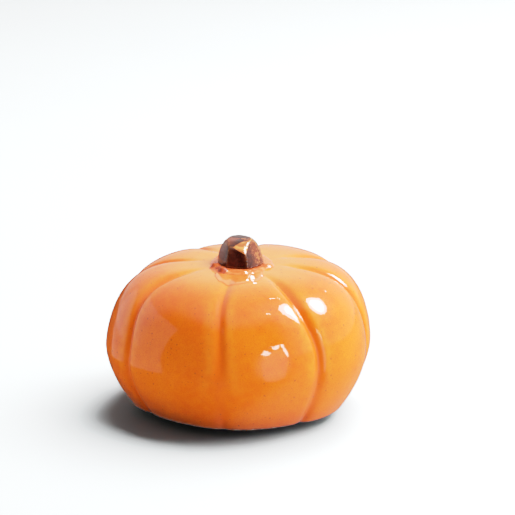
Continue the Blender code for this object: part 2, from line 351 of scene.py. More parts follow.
def lobe_columns():
    """Azimuth, swing over the dome, place across its lobe from -1 to 1, the lobe's half width and
    swell, and the nearest groove, of each column."""
    azimuth, swing, across, half_width, swell, groove = [], [], [], [], [], []
    for index, end in enumerate(GROOVES):
        start = GROOVES[index - 1] - (360 if index == 0 else 0)
        half = math.radians(end - start) / 2
        for step in range(STEPS_PER_LOBE):
            share = 2 * step / STEPS_PER_LOBE - 1
            crowded = math.sin(math.pi / 2 * share)
            place = COLUMN_EVENNESS * share + (1 - COLUMN_EVENNESS) * crowded
            azimuth.append(math.radians((start + end) / 2) + place * half)
            swings = GROOVE_SWING[index - 1] * (1 - place) / 2 + GROOVE_SWING[index] * (1 + place) / 2
            swing.append(math.radians(swings))
            across.append(place)
            half_width.append(half)
            swell.append(LOBE_SWELL[index])
            groove.append(index if place > 0 else (index - 1) % len(GROOVES))
    return [np.array(values) for values in (azimuth, swing, across, half_width, swell, groove)]


def sagged(points):
    """The crown's shift and tilt, from the sagging of the soft clay."""
    above = np.maximum(points[..., 2] - WAIST_HEIGHT, 0) / (BODY_HEIGHT - WAIST_HEIGHT)
    rise = (RISE_TO_SIDE * points[..., 0] + RISE_TO_BACK * points[..., 1]) / BODY_RADIUS
    moved = points.copy()
    moved[..., 0] += above * CROWN_SHIFT
    moved[..., 2] += above * rise
    return moved


def body_outside(columns):
    """The glazed surface and its height, and where glaze pools in grooves or is thin beside them."""
    azimuth, swing, across, half_width, swell, groove = columns
    radius, height = outer_profile()
    azimuth = azimuth + swing * smooth_step(height, *SWING_LEVELS)[:, None]
    along = np.stack([np.gradient(radius), np.gradient(height)])
    along /= np.linalg.norm(along, axis=0)
    on_dome = height > WAIST_HEIGHT
    out = np.where(on_dome, along[1], 1.0)[:, None]
    up = np.where(on_dome, -along[0], 0.0)[:, None]
    spread = smooth_step(radius, GROOVE_START_RADIUS, GROOVE_FULL_RADIUS)[:, None]
    reach = (1 - np.abs(across)) * half_width * radius[:, None]
    level = height[:, None]

    # A groove is crisp on the shoulder, nearly closes on the lower flank and opens at the foot.
    soft = bell(level, CLOSED_LEVEL, CLOSED_REACH) * np.array(GROOVE_CLOSING)[groove]
    crease_width = CREASE_WIDTH * np.array(GROOVE_WIDTH)[groove] * (1 + CLOSED_WIDER * soft)
    crease_depth = CREASE_DEPTH * np.array(GROOVE_DEPTH)[groove] * (1 - CLOSED_SHALLOWER * soft)
    crease = np.exp(-((reach / crease_width) ** 2))
    inset = LOBE_ROUNDING * np.abs(across) ** 3 + crease_depth * crease
    distance = radius[:, None] + spread * (swell * (1 - across**2) - inset * out)
    rise = level - spread * inset * up

    points = np.stack(
        [distance * np.sin(azimuth), -distance * np.cos(azimuth), rise + 0 * distance], axis=-1
    )
    points = sagged(points)
    outward = np.stack([out * np.sin(azimuth), -out * np.cos(azimuth), up + 0 * azimuth], axis=-1)
    lively = smooth_step(level, 0.0, FOOT_QUIET) * smooth_step(radius, *SEAT_QUIET_RADII)[:, None]
    points += outward * (waves(points, BODY_WAVES, BODY_SEED) * lively)[..., None]

    glazed = smooth_step(radius, *GLAZE_GROOVE_RADII)[:, None]
    pool = np.exp(-((reach / (POOL_WIDTH * crease_width)) ** 2)) * glazed
    pool *= 1 - CLOSED_LESS_GLAZE * soft
    thin = bell(reach, THIN_PLACE * crease_width, THIN_WIDTH) * glazed
    thin *= smooth_step(level, *THIN_LEVELS)
    return points, pool, thin, np.broadcast_to(level, pool.shape)


def body_inside(columns, foot_ring):
    """Rings from the foot's edge over the bare foot, through the vent, round the cavity and up the
    socket to the seat. Each is a (radius, level above the foot, sideways shift) circle."""
    azimuth = columns[0]
    recess, floor = FOOT_RECESS_DEPTH, FOOT_RECESS_DEPTH + WALL
    roof = SEAT_LEVEL - FOOT_LEVEL - WALL
    seat = SEAT_LEVEL - FOOT_LEVEL
    circles = [(radius, 0.0, 0.0) for radius in FOOT_RADII]
    circles += rounded_step(FOOT_RECESS_RADIUS, 0.0, recess, INNER_ROUNDING)
    circles += [(radius, recess, 0.0) for radius in RECESS_RADII]
    circles += rounded_step(VENT_RADIUS, recess, floor, 2 * INNER_ROUNDING)
    radius = BODY_RADIUS - WALL - LOBE_ROUNDING - CREASE_DEPTH
    for step in range(CAVITY_STEPS):
        turn = math.pi * ((step + 1) / (CAVITY_STEPS + 1) - 0.5)
        side = radius * math.cos(turn) ** (2 / CAVITY_POWER)
        lift = math.copysign(abs(math.sin(turn)) ** (2 / CAVITY_POWER), turn)
        circles.append((side, (floor + roof) / 2 + (roof - floor) / 2 * lift, 0.0))
    circles += [(SOCKET_RADIUS, level, CROWN_SHIFT) for level in (roof, (roof + seat) / 2, seat)]
    circles += [(side, seat, CROWN_SHIFT) for side in SEAT_RADII]
    circles += [(SEAT_RADIUS, seat + lift, CROWN_SHIFT) for lift in SEAT_WALL_LIFTS]
    first_circle = circle(FOOT_RADII[0], 0.0, azimuth)
    rings = [foot_ring * (1 - share) + share * first_circle for share in FOOT_EDGE_SHARES]
    rings += [circle(side, level, azimuth) + (shift, 0, 0) for side, level, shift in circles]
    return np.array(rings)


def rounded_step(radius, low, high, soft):
    """Circles over a rounded edge, up a wall and round into the flat above it."""
    turns = (0.0, math.pi / 6, math.pi / 3, math.pi / 2)
    edge = [(radius + soft * (1 - math.sin(turn)), low + soft * (1 - math.cos(turn))) for turn in turns]
    top = [(radius - soft * (1 - math.cos(turn)), high - soft * (1 - math.sin(turn))) for turn in turns]
    return [(side, level, 0.0) for side, level in edge + top]


def body(look):
    columns = lobe_columns()
    outside, pool, thin, height = body_outside(columns)
    inside = body_inside(columns, outside[0])
    points = np.concatenate([outside[::-1], inside])
    rings, sides = points.shape[:2]
    bare = np.zeros(inside.shape[:2])
    attributes = {
        "pool": np.concatenate([pool[::-1], bare]),
        "thin": np.concatenate([thin[::-1], bare]),
        "height_mm": np.concatenate([height[::-1] / MM, bare - 1]),
    }
    points = points + AXIS + (0, 0, FOOT_LEVEL)
    made = make_object("pumpkin_body", points, ring_faces(rings, sides, True), look, attributes)
    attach(made, "root")
    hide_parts("body_shell")
    return made


# ================ stem
def stem_corners(radius, share):
    """Corners of the stem's section at this share of its height, from the middle of its foot."""
    turns = [STEM_FIRST_CORNER + 2 * math.pi * side / STEM_SIDES for side in range(STEM_SIDES)]
    lean, level = STEM_LEAN * share, STEM_HEIGHT * share
    return [np.array([radius * math.sin(t) + lean, -radius * math.cos(t), level]) for t in turns]


def stem_facets():
    """Each flat cut of the knife as its outward normal and its distance from the stem's heart."""
    rings = [stem_corners(radius, share) for share, radius in STEM_OUTLINE]
    facets = []
    for low, high in zip(rings, rings[1:]):
        for side in range(STEM_SIDES):
            after = (side + 1) % STEM_SIDES
            normal = np.cross(low[after] - low[side], high[side] - low[side])
            normal /= np.linalg.norm(normal)
            fullness = STEM_FULLNESS * max(normal[0], 0) ** 2
            facets.append((normal, normal @ (low[side] - STEM_HEART) + fullness))
    for normal, point in (STEM_TOP, STEM_BROW, STEM_SIDE, STEM_FOOT, STEM_CHIP):
        normal = np.array(normal) / np.linalg.norm(normal)
        facets.append((normal, normal @ (np.array(point) - STEM_HEART)))
    return facets


def stem(look):
    """The faceted stub as one soft-edged form about its heart, on its round tenon."""
    turn = np.linspace(0, 2 * np.pi, STEM_COLUMNS, endpoint=False)
    tilt = np.linspace(*STEM_TILTS, STEM_ROWS)[:, None]
    toward = np.stack(
        [np.sin(tilt) * np.sin(turn), -np.sin(tilt) * np.cos(turn), np.cos(tilt) + 0 * turn], axis=-1
    )
    facets = stem_facets()
    nearness = np.stack([np.maximum(toward @ normal, 0) / reach for normal, reach in facets], axis=-1)
    total = (nearness**STEM_CRISPNESS).sum(axis=-1)
    points = STEM_HEART + toward * (total ** (-1 / STEM_CRISPNESS))[..., None]
    above_foot = smooth_step(points[..., 2], 0.0, STEM_FOOT_QUIET)
    points += toward * (waves(points, STEM_WAVES, STEM_SEED) * above_foot)[..., None]

    # How near each point is to an edge between two facets that differ clearly in direction.
    nearest = nearness.max(axis=-1)
    normals = np.array([normal for normal, _ in facets])
    unlike = (normals @ normals.T < math.cos(EDGE_ANGLE))[nearness.argmax(axis=-1)]
    edge = bell((nearness * unlike).max(axis=-1) / nearest, 1.0, EDGE_WIDTH)
    chip = smooth_step(nearness[..., -1] / nearest, *CHIP_NEARNESS)
    azimuth = np.degrees(turn) * np.ones_like(tilt)
    # Sides where the brown glaze is painted lighter: painted light on the sunny side, painted reflection
    # on the shaded one.
    sunny, shaded = (
        bell(degrees_between(azimuth, middle), 0, width) for middle, width in (SUNNY_SIDE, SHADED_SIDE)
    )

    soft = TENON_ROUNDING
    side = SOCKET_RADIUS - FILM
    bottom = SEAT_LEVEL - TENON_LENGTH - STEM_FOOT_LEVEL
    tenon_outline = (
        (side + soft, 0.0),
        (side, -soft),
        (side, bottom / 2),
        (side, bottom + soft),
        (side - soft, bottom),
        (side / 2, bottom),
    )
    tenon = [circle(radius, level, turn) for radius, level in tenon_outline]
    points = np.concatenate([points, tenon])
    bare = np.zeros((len(tenon), STEM_COLUMNS))
    attributes = {"edge": edge, "chip": chip, "sunny": sunny, "shaded": shaded}
    attributes = {name: np.concatenate([values, bare]) for name, values in attributes.items()}
    rings, sides = points.shape[:2]
    points = points + STEM_AXIS + (0, 0, STEM_FOOT_LEVEL)
    made = make_object("pumpkin_stem", points, ring_faces(rings, sides, False), look, attributes)
    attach(made, "root")
    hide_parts("stem")
    return made


# ================ slip joint
def stem_side_radius(turn):
    """How far the stem's flat-cut foot reaches at this azimuth."""
    side = 2 * np.pi / STEM_SIDES
    from_middle = (turn - STEM_FIRST_CORNER) % side - side / 2
    return STEM_OUTLINE[0][1] * math.cos(side / 2) / np.cos(from_middle)


def crown_surface(radius, turn):
    """Height of the crown over the foot, on a ring about the stem's axis."""
    height = dome_height(radius)
    above = (height - WAIST_HEIGHT) / (BODY_HEIGHT - WAIST_HEIGHT)
    rise = RISE_TO_SIDE * radius * np.sin(turn) - RISE_TO_BACK * radius * np.cos(turn)
    return height + above * rise / BODY_RADIUS


def slip_thickness(radius, turn, share):
    """Thickness of the slip on the crown, and how brown its glaze is. The share is 0 at the stem's
    foot and 1 at the feathered edge."""
    across, back = radius * np.sin(turn), -radius * np.cos(turn)
    film = SLIP_EDGE_THICKNESS * (1 + SLIP_THICKER_INSIDE * (1 - share))
    lumps, brown = 0.0 * turn, 0.0 * turn
    for azimuth, distance, size, height, brownness in SLIP_LUMPS:
        place = math.radians(azimuth)
        apart = np.hypot(across - distance * math.sin(place), back + distance * math.cos(place)) / size
        mound = np.exp(-(apart**3))
        lumps = lumps + height * mound
        brown = np.maximum(brown, brownness * smooth_step(np.exp(-(apart**2)), *LUMP_BROWN_EDGE))
    feather = smooth_step(1 - share, 0.0, SLIP_FEATHER) ** SLIP_FEATHER_POWER
    return (film + lumps) * feather, brown


def slip_edge(turn):
    """Radius of the slip's outline: wavy, wider round the lumps and at its skirt in front."""
    lump_reach = 0.0 * turn
    for azimuth, distance, size, _, _ in SLIP_LUMPS:
        apart = degrees_between(np.degrees(turn), azimuth)
        reach = distance + size + LUMP_MARGIN - SLIP_EDGE_RADIUS
        half_width = math.degrees(LUMP_SPREAD * size / distance)
        lump_reach = np.maximum(lump_reach, reach * bell(apart, 0, half_width))
    middle, half_width, reach = SLIP_SKIRT
    skirt = reach * np.exp(-((degrees_between(np.degrees(turn), middle) / half_width) ** 4))
    wobble = waves(circle(1.0, 0.0, turn), SLIP_WAVES, SLIP_SEED)
    return SLIP_EDGE_RADIUS + wobble + np.maximum(lump_reach, skirt)


def slip_joint(look):
    """The washer of slip under the stem, up the seat's wall, and feathered out over the crown."""
    turn = np.linspace(0, 2 * np.pi, SLIP_COLUMNS, endpoint=False)
    low, bore, wall = SEAT_LEVEL + FILM / 2, SOCKET_RADIUS + FILM, SEAT_RADIUS - FILM / 2
    under_stem = STEM_FOOT_LEVEL - FILM / 2
    edge = slip_edge(turn)
    foot = stem_side_radius(turn) - SLIP_TUCK
    rings, brown = [], []

    def add(radius, level, brownness=0.0):
        place = circle(1.0, 0.0, turn) * np.broadcast_to(radius, turn.shape)[:, None]
        place[:, 2] = level
        rings.append(place)
        brown.append(np.broadcast_to(brownness, turn.shape))

    add(bore, under_stem)
    add((bore + foot) / 2, under_stem)
    for share in np.linspace(0, 1, SLIP_RINGS):
        radius = foot + (edge - foot) * share
        thick, brownness = slip_thickness(radius, turn, share)
        level = FOOT_LEVEL + crown_surface(radius, turn) + thick
        meniscus = under_stem - level
        add(radius, level + meniscus * (1 - smooth_step(share, 0.0, SLIP_MENISCUS)), brownness)
    for share in SLIP_UNDERSIDE_SHARES:
        radius = wall + (edge - wall) * share
        add(radius, FOOT_LEVEL + crown_surface(radius, turn) + SLIP_CLEARANCE)
    add(wall, low)
    add((wall + bore) / 2, low)
    add(bore, low)
    points = np.array(rings) + STEM_AXIS
    faces = ring_faces(len(rings), SLIP_COLUMNS, True)
    made = make_object("stem_slip", points, faces, look, {"brown": np.array(brown)})
    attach(made, "root")
    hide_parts("stem_slip_joint")
    return made


# ================ felt pads
def felt_pad(node, seed, look):
    """A punched felt disc: soft edge, slightly pressed underside and an uneven napped surface."""
    low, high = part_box(node)
    middle = middle_of(node)
    radius, thickness = (high[0] - low[0]) / 2, high[2] - low[2]
    turn = np.linspace(0, 2 * np.pi, PAD_COLUMNS, endpoint=False)
    soft = PAD_ROUNDING_SHARE * thickness
    bend_angles = np.linspace(0, np.pi / 2, PAD_ROUNDING_STEPS)
    outline = [(radius * share, thickness) for share in PAD_RING_SHARES]
    bends = [(soft * math.sin(bend), soft * math.cos(bend)) for bend in bend_angles]
    outline += [(radius - soft + out, thickness - soft + up) for out, up in bends]
    outline += [(radius - soft + out, soft - down) for down, out in bends]
    outline += [(radius * share, 0.0) for share in reversed(PAD_RING_SHARES)]
    points = np.array([circle(side, level, turn) for side, level in outline])
    nap = waves(points, FELT_WAVES, seed)
    side = smooth_step(np.hypot(points[..., 0], points[..., 1]), 0.5 * radius, radius)
    points[..., :2] *= 1 - np.abs(nap * side / radius)[..., None]
    from_middle = (points[..., 2] - thickness / 2) / (thickness / 2)
    points[..., 2] -= np.abs(nap) * from_middle
    points = points + (middle[0], middle[1], low[2])
    rings, sides = points.shape[:2]
    made = make_object(node + "_felt", points, ring_faces(rings, sides, False), look)
    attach(made, "root")
    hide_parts(node)
    return made


# ================ materials
GLAZE_IOR = 1.5

ORANGE_TONES = ((0.80, 0.110, 0.0060), (0.86, 0.142, 0.0080))
ORANGE_CLOUD = (0.92, 0.172, 0.0085)
ORANGE_GRAIN = (0.66, 0.076, 0.003)
ORANGE_THIN = (0.93, 0.20, 0.014)
ORANGE_POOLED = (0.80, 0.092, 0.0045)
ORANGE_LOW = (0.76, 0.100, 0.0035)
# Paler, yellower colour painted on the crown as its sheen.
ORANGE_PAINTED_SHEEN = (0.83, 0.205, 0.018)
ORANGE_RIM = (0.45, 0.060, 0.004)
ORANGE_SPECK = (0.26, 0.045, 0.008)
# Peach painted on the thick glaze in front of the stem, as the stem's reflection in it.
APRON_PAINTED_REFLECTION_TONES = ((0.76, 0.140, 0.030), (0.80, 0.175, 0.042))
# The apron's deeper rim: partly pooled glaze, partly painted shade where its sheen fades.
APRON_RIM_POOL_AND_SHADE = (0.78, 0.110, 0.012)
CLAY_TONES = ((0.50, 0.41, 0.31), (0.70, 0.61, 0.49))
CLAY_SPECK = (0.22, 0.12, 0.06)
BROWN_TONES = ((0.028, 0.0042, 0.0026), (0.066, 0.0125, 0.0070))
# Lighter, warmer brown painted on the stem's sunny side as the light on it.
BROWN_PAINTED_LIGHT = (0.17, 0.040, 0.012)
# Lighter brown painted on the stem's shaded side, as the bright room reflected in it.
BROWN_PAINTED_REFLECTION = (0.20, 0.050, 0.024)
# Lighter streaks painted on the stem's sunny side as light.
BROWN_PAINTED_LIGHT_STREAK = (0.52, 0.17, 0.050)
BROWN_EDGE = (0.62, 0.21, 0.040)
BROWN_CUT_TONES = ((0.36, 0.095, 0.020), (0.66, 0.22, 0.055))
# Peach slip colour, a painted reflection of the stem and sheen round its foot.
SLIP_TONES_WITH_PAINTED_SHEEN = ((0.74, 0.125, 0.030), (0.80, 0.170, 0.050))
SLIP_REDS = ((0.30, 0.030, 0.0015), (0.52, 0.075, 0.004))
FELT_TONES = ((0.020, 0.018, 0.017), (0.060, 0.055, 0.052))
FELT_FIBRE = (0.15, 0.14, 0.13)
FLOOR_TONES = ((0.110, 0.119, 0.121), (0.116, 0.125, 0.127))

# Radii round the stem, in millimetres, over which the crown's painted sheen, a paler and yellower
# colour, fades, and heights of the ragged edge where the glaze stops above the foot.
PAINTED_SHEEN_RADII = (6.0, 14.5)
GLAZE_STOP = (0.10, 0.24)
GLAZE_RIM_TOP = 0.75
# Heights of the bumps in each surface, in metres.
ORANGE_PEEL = 0.000022
CLAY_RELIEF = 0.00006
BROWN_PEEL = 0.00003
SLIP_PEEL = 0.00005
FELT_NAP = 0.00012


class Nodes:
    """A node tree, with short calls for the nodes that the looks and the room are made of."""

    def __init__(self, tree):
        self.tree = tree

    def put(self, node, socket, value):
        target = node.inputs[socket]
        if isinstance(value, bpy.types.NodeSocket):
            self.tree.links.new(value, target)
        elif isinstance(value, tuple) and len(value) == 3 and target.type == "RGBA":
            target.default_value = (*value, 1.0)
        else:
            target.default_value = value

    def node(self, kind, inputs=(), **settings):
        made = self.tree.nodes.new(kind)
        for setting, value in settings.items():
            setattr(made, setting, value)
        for socket, value in dict(inputs).items():
            self.put(made, socket, value)
        return made

    def vector(self, operation, first, second=None, scale=None):
        made = self.node("ShaderNodeVectorMath", {0: first}, operation=operation)
        if second is not None:
            self.put(made, 1, second)
        if scale is not None:
            made.inputs["Scale"].default_value = scale
        return made.outputs[0]

    def math(self, operation, first, second, clamp=False):
        inputs = {0: first, 1: second}
        return self.node("ShaderNodeMath", inputs, operation=operation, use_clamp=clamp).outputs[0]

    def add(self, first, second):
        return self.math("ADD", first, second)

    def times(self, first, second):
        return self.math("MULTIPLY", first, second)

    def highest(self, first, second):
        return self.math("MAXIMUM", first, second)

    def inverse(self, share):
        return self.math("SUBTRACT", 1.0, share)

    def length(self, vector):
        return self.node("ShaderNodeVectorMath", {0: vector}, operation="LENGTH").outputs["Value"]

    def ramp(self, value, low, high, at_low=0.0, at_high=1.0):
        inputs = {"Value": value, "From Min": low, "From Max": high, "To Min": at_low, "To Max": at_high}
        made = self.node("ShaderNodeMapRange", inputs, interpolation_type="SMOOTHSTEP", clamp=True)
        return made.outputs["Result"]

    def mix(self, share, first, second):
        made = self.node("ShaderNodeMix", data_type="RGBA", clamp_factor=True)
        self.put(made, 0, share)
        self.put(made, 6, first)
        self.put(made, 7, second)
        return made.outputs[2]


class Look(Nodes):
    """A material's nodes, placed on the pumpkin in millimetres."""

    def __init__(self, name):
        self.material = bpy.data.materials.new(name)
        self.material.use_nodes = True
        super().__init__(self.material.node_tree)
        self.shader = self.tree.nodes["Principled BSDF"]
        place = self.node("ShaderNodeTexCoord").outputs["Object"]
        self.place = self.vector("SCALE", place, scale=1 / MM)

    def set(self, **inputs):
        for socket, value in inputs.items():
            self.put(self.shader, socket.replace("_", " "), value)

    def attribute(self, name):
        return self.node("ShaderNodeAttribute", attribute_name=name).outputs["Fac"]

    def noise(self, scale, detail=2.0, roughness=0.5, distortion=0.0, place=None):
        """Noise of 0 to 1, with this many features a millimetre."""
        inputs = {"Vector": place or self.place, "Scale": scale, "Detail": detail}
        inputs |= {"Roughness": roughness, "Distortion": distortion}
        return self.node("ShaderNodeTexNoise", inputs).outputs["Fac"]

    def grey(self, colour):
        return self.node("ShaderNodeSeparateColor", {"Color": colour}).outputs[0]

    def spots(self, scale, radius, share):
        """1 inside small round spots, in this share of the cells of an even scatter."""
        inputs = {"Vector": self.place, "Scale": scale, "Randomness": 1.0}
        cells = self.node("ShaderNodeTexVoronoi", inputs)
        near = self.ramp(cells.outputs["Distance"], 0.5 * radius, radius, 1.0, 0.0)
        picked = self.math("LESS_THAN", self.grey(cells.outputs["Color"]), share)
        return self.times(near, picked)

    def marked(self, normal):
        """This normal, turned to the flat side of each blister and scratch in the glaze."""
        wobble = self.ramp(self.noise(3.0), 0.3, 0.7, -MARK_WOBBLE, MARK_WOBBLE)
        inside = 0.0
        for right, back, width, length, turn in GLAZE_MARKS:
            apart = self.vector("SUBTRACT", self.from_stem(), (right, back, 0.0))
            inputs = {"Vector": apart, "Angle": math.radians(-turn)}
            turned = self.node("ShaderNodeVectorRotate", inputs, rotation_type="Z_AXIS").outputs[0]
            apart = self.length(self.vector("MULTIPLY", turned, (1 / width, 1 / length, 0.0)))
            mark = self.ramp(self.add(apart, wobble), MARK_CORE, 1.0, 1.0, 0.0)
            inside = self.highest(inside, mark)
        inside = self.times(inside, self.on_crown())
        side = self.node("ShaderNodeCombineXYZ", dict(enumerate(MARK_SIDE))).outputs[0]
        return self.vector("NORMALIZE", self.mix(inside, normal, side))

    def beyond_apron(self):
        """0 on the thick glaze in front of the stem and 1 off it, with a soft rim between."""
        width, length = APRON_REACH
        apart = self.vector("SUBTRACT", self.from_stem(), APRON_MIDDLE)
        apart = self.length(self.vector("MULTIPLY", apart, (1 / width, 1 / length, 0.0)))
        uneven = self.add(apart, self.ramp(self.noise(0.5), 0.3, 0.7, -APRON_WOBBLE, APRON_WOBBLE))
        return self.highest(self.inverse(self.on_crown()), self.ramp(uneven, *APRON_RIM))

    def on_crown(self):
        """1 on the pumpkin's upper part and 0 below it."""
        height = self.node("ShaderNodeSeparateXYZ", {0: self.place}).outputs[2]
        return self.ramp(height, *CROWN_LEVELS)

    def from_stem(self):
        """Where a point lies from the stem's axis, in millimetres, seen from above."""
        centre = tuple(float(value) / MM for value in STEM_AXIS)
        apart = self.vector("SUBTRACT", self.place, centre)
        return self.vector("MULTIPLY", apart, (1.0, 1.0, 0.0))

    def bump(self, height, distance, normal=None):
        """A bump whose height input of 1 stands this many metres proud."""
        made = self.node("ShaderNodeBump", {"Height": height, "Strength": 1.0, "Distance": distance})
        if normal:
            self.put(made, "Normal", normal)
        return made.outputs["Normal"]


def orange_tones(look, pool, height, mottle, grain):
    """The orange glaze's colour: cloudy, deeper in grooves and paler on edges, with a painted sheen that
    makes it paler and yellower near the stem.
    """
    broad = look.noise(0.11, detail=2.0)
    colour = look.mix(look.ramp(broad, 0.35, 0.68), *ORANGE_TONES)
    colour = look.mix(look.ramp(mottle, 0.30, 0.72, 0.0, 0.45), colour, ORANGE_CLOUD)
    colour = look.mix(look.ramp(grain, 0.42, 0.64, 0.0, 0.50), colour, ORANGE_GRAIN)
    on_edges = look.times(look.attribute("thin"), look.ramp(mottle, 0.2, 0.7, 0.25, 0.60))
    colour = look.mix(on_edges, colour, ORANGE_THIN)
    in_grooves = look.times(pool, look.ramp(mottle, 0.25, 0.65, 0.40, 0.65))
    colour = look.mix(in_grooves, colour, ORANGE_POOLED)
    colour = look.mix(look.ramp(height, 0.2, 3.6, 0.35, 0.0), colour, ORANGE_LOW)
    # Painted sheen: the crown is coloured paler and yellower round the stem.
    crown_painted_sheen = look.ramp(look.length(look.from_stem()), *PAINTED_SHEEN_RADII, 0.85, 0.0)
    crown_painted_sheen = look.times(crown_painted_sheen, look.ramp(mottle, 0.2, 0.7, 0.7, 1.0))
    return look.mix(crown_painted_sheen, colour, ORANGE_PAINTED_SHEEN)


def apron_tones(look, colour, mottle, beyond):
    """This colour, with a peach painted on the thick glaze in front of the stem as the stem's
    reflection, and a deeper rim that is partly pooled glaze and partly painted shade where its sheen
    fades.
    """
    # Painted reflection: the thick glaze in front of the stem is coloured peach, as the stem mirrored in
    # it.
    painted_stem_reflection = look.mix(look.ramp(mottle, 0.35, 0.65), *APRON_PAINTED_REFLECTION_TONES)
    colour = look.mix(look.math("SUBTRACT", 0.85, beyond, clamp=True), colour, painted_stem_reflection)
    # Deeper rim, partly pooled glaze and partly painted shade where the tilted edge loses its sheen.
    rim = look.times(beyond, look.inverse(beyond))
    return look.mix(look.times(rim, 3.0), colour, APRON_RIM_POOL_AND_SHADE)


def glaze_relief(look, grain, clay_relief, beyond):
    """Normals of the glaze's orange peel and pits, of the bare clay, and of the apron and marks."""
    peel = look.noise(0.55, detail=2.0, roughness=0.45)
    ripple = look.noise(1.7, detail=2.0, roughness=0.5)
    pits = look.spots(1.1, 0.075, 0.10)
    relief = look.add(look.add(peel, look.times(ripple, 0.20)), look.times(pits, -0.3))
    relief = look.add(relief, look.times(grain, 0.012))
    normal = look.bump(relief, ORANGE_PEEL)
    normal = look.bump(clay_relief, CLAY_RELIEF, normal)
    normal = look.bump(look.inverse(beyond), APRON_HEIGHT, normal)
    return look.marked(normal)


def orange_glaze():
    """Thick glossy orange glaze over buff clay, which stays bare on the foot and inside."""
    look = Look("orange_glaze_fine")
    pool, height = look.attribute("pool"), look.attribute("height_mm")
    mottle = look.noise(0.9, detail=4.0, roughness=0.62)
    grain = look.noise(5.5, detail=3.0, roughness=0.7)
    beyond = look.beyond_apron()
    colour = orange_tones(look, pool, height, mottle, grain)
    colour = apron_tones(look, colour, mottle, beyond)
    specks = look.add(look.spots(1.1, 0.21, 0.22), look.spots(2.3, 0.26, 0.12))
    colour = look.mix(look.times(specks, 0.62), colour, ORANGE_SPECK)

    clay_grain = look.noise(3.0, detail=5.0, roughness=0.7)
    clay = look.mix(clay_grain, *CLAY_TONES)
    clay = look.mix(look.times(look.spots(1.6, 0.16, 0.25), 0.5), clay, CLAY_SPECK)
    ragged = look.add(height, look.ramp(look.noise(0.8, detail=3.0), 0.0, 1.0, -0.35, 0.35))
    glazed = look.ramp(ragged, *GLAZE_STOP)
    rim = look.times(glazed, look.ramp(ragged, GLAZE_STOP[1], GLAZE_RIM_TOP, 1.0, 0.0))
    colour = look.mix(look.times(rim, 0.6), colour, ORANGE_RIM)

    gloss = look.ramp(look.noise(1.6, detail=3.0), 0.3, 0.8, 0.035, 0.075)
    dull_grooves = look.times(pool, look.ramp(height, 5.0, 13.0, 0.26, 0.0))
    dull_clay = look.ramp(glazed, 0.0, 1.0, 0.85, 0.0)
    look.set(
        Base_Color=look.mix(glazed, clay, colour),
        Roughness=look.highest(look.highest(gloss, dull_grooves), dull_clay),
        IOR=GLAZE_IOR,
        Normal=glaze_relief(look, grain, look.times(clay_grain, look.inverse(glazed)), beyond),
    )
    return look.material


def brown_glaze():
    """Dark treacle-brown glaze that breaks to amber where it runs thin over cut edges. Its sunny side is
    painted lighter as light falling on it, and its shaded side lighter as a painted reflection.
    """
    look = Look("brown_glaze_fine")
    edge, chip, sunny, shaded = (look.attribute(name) for name in ("edge", "chip", "sunny", "shaded"))
    cloud = look.noise(0.75, detail=3.0, distortion=0.6)
    fine = look.noise(3.2, detail=4.0, roughness=0.65)
    colour = look.mix(look.ramp(cloud, 0.38, 0.66), *BROWN_TONES)
    # Painted light: the sunny side is coloured lighter and warmer.
    painted_light_on_sunny_side = look.times(sunny, look.ramp(fine, 0.30, 0.62, 0.35, 1.0))
    colour = look.mix(painted_light_on_sunny_side, colour, BROWN_PAINTED_LIGHT)
    # Painted light: lighter streaks only on the sunny side.
    painted_light_streaks = look.noise(1.5, detail=3.0, roughness=0.6, distortion=2.2)
    painted_light_streaks = look.times(look.ramp(painted_light_streaks, 0.50, 0.66), look.ramp(sunny, 0.25, 0.9))
    colour = look.mix(look.times(painted_light_streaks, 0.75), colour, BROWN_PAINTED_LIGHT_STREAK)
    # Painted reflection: the shaded side is coloured lighter, as the bright room mirrored in it.
    colour = look.mix(look.times(shaded, 0.8), colour, BROWN_PAINTED_REFLECTION)
    # Amber of the thin glaze on the cut edges, brighter on the sunny side as painted light.
    thin_glaze_and_painted_light = look.times(edge, look.ramp(fine, 0.35, 0.65, 0.05, 0.75))
    thin_glaze_and_painted_light = look.times(thin_glaze_and_painted_light, look.add(0.35, look.times(sunny, 0.9)))
    colour = look.mix(thin_glaze_and_painted_light, colour, BROWN_EDGE)
    cut = look.ramp(look.add(chip, look.ramp(fine, 0.0, 1.0, -0.14, 0.14)), 0.35, 0.75)
    cut_colour = look.mix(look.ramp(cloud, 0.35, 0.65), *BROWN_CUT_TONES)
    peel = look.noise(1.6, detail=2.0)
    look.set(
        Base_Color=look.mix(cut, colour, cut_colour),
        Roughness=look.ramp(fine, 0.3, 0.8, 0.05, 0.12),
        IOR=GLAZE_IOR,
        Normal=look.bump(look.add(peel, look.times(fine, 0.3)), BROWN_PEEL),
    )
    return look.material


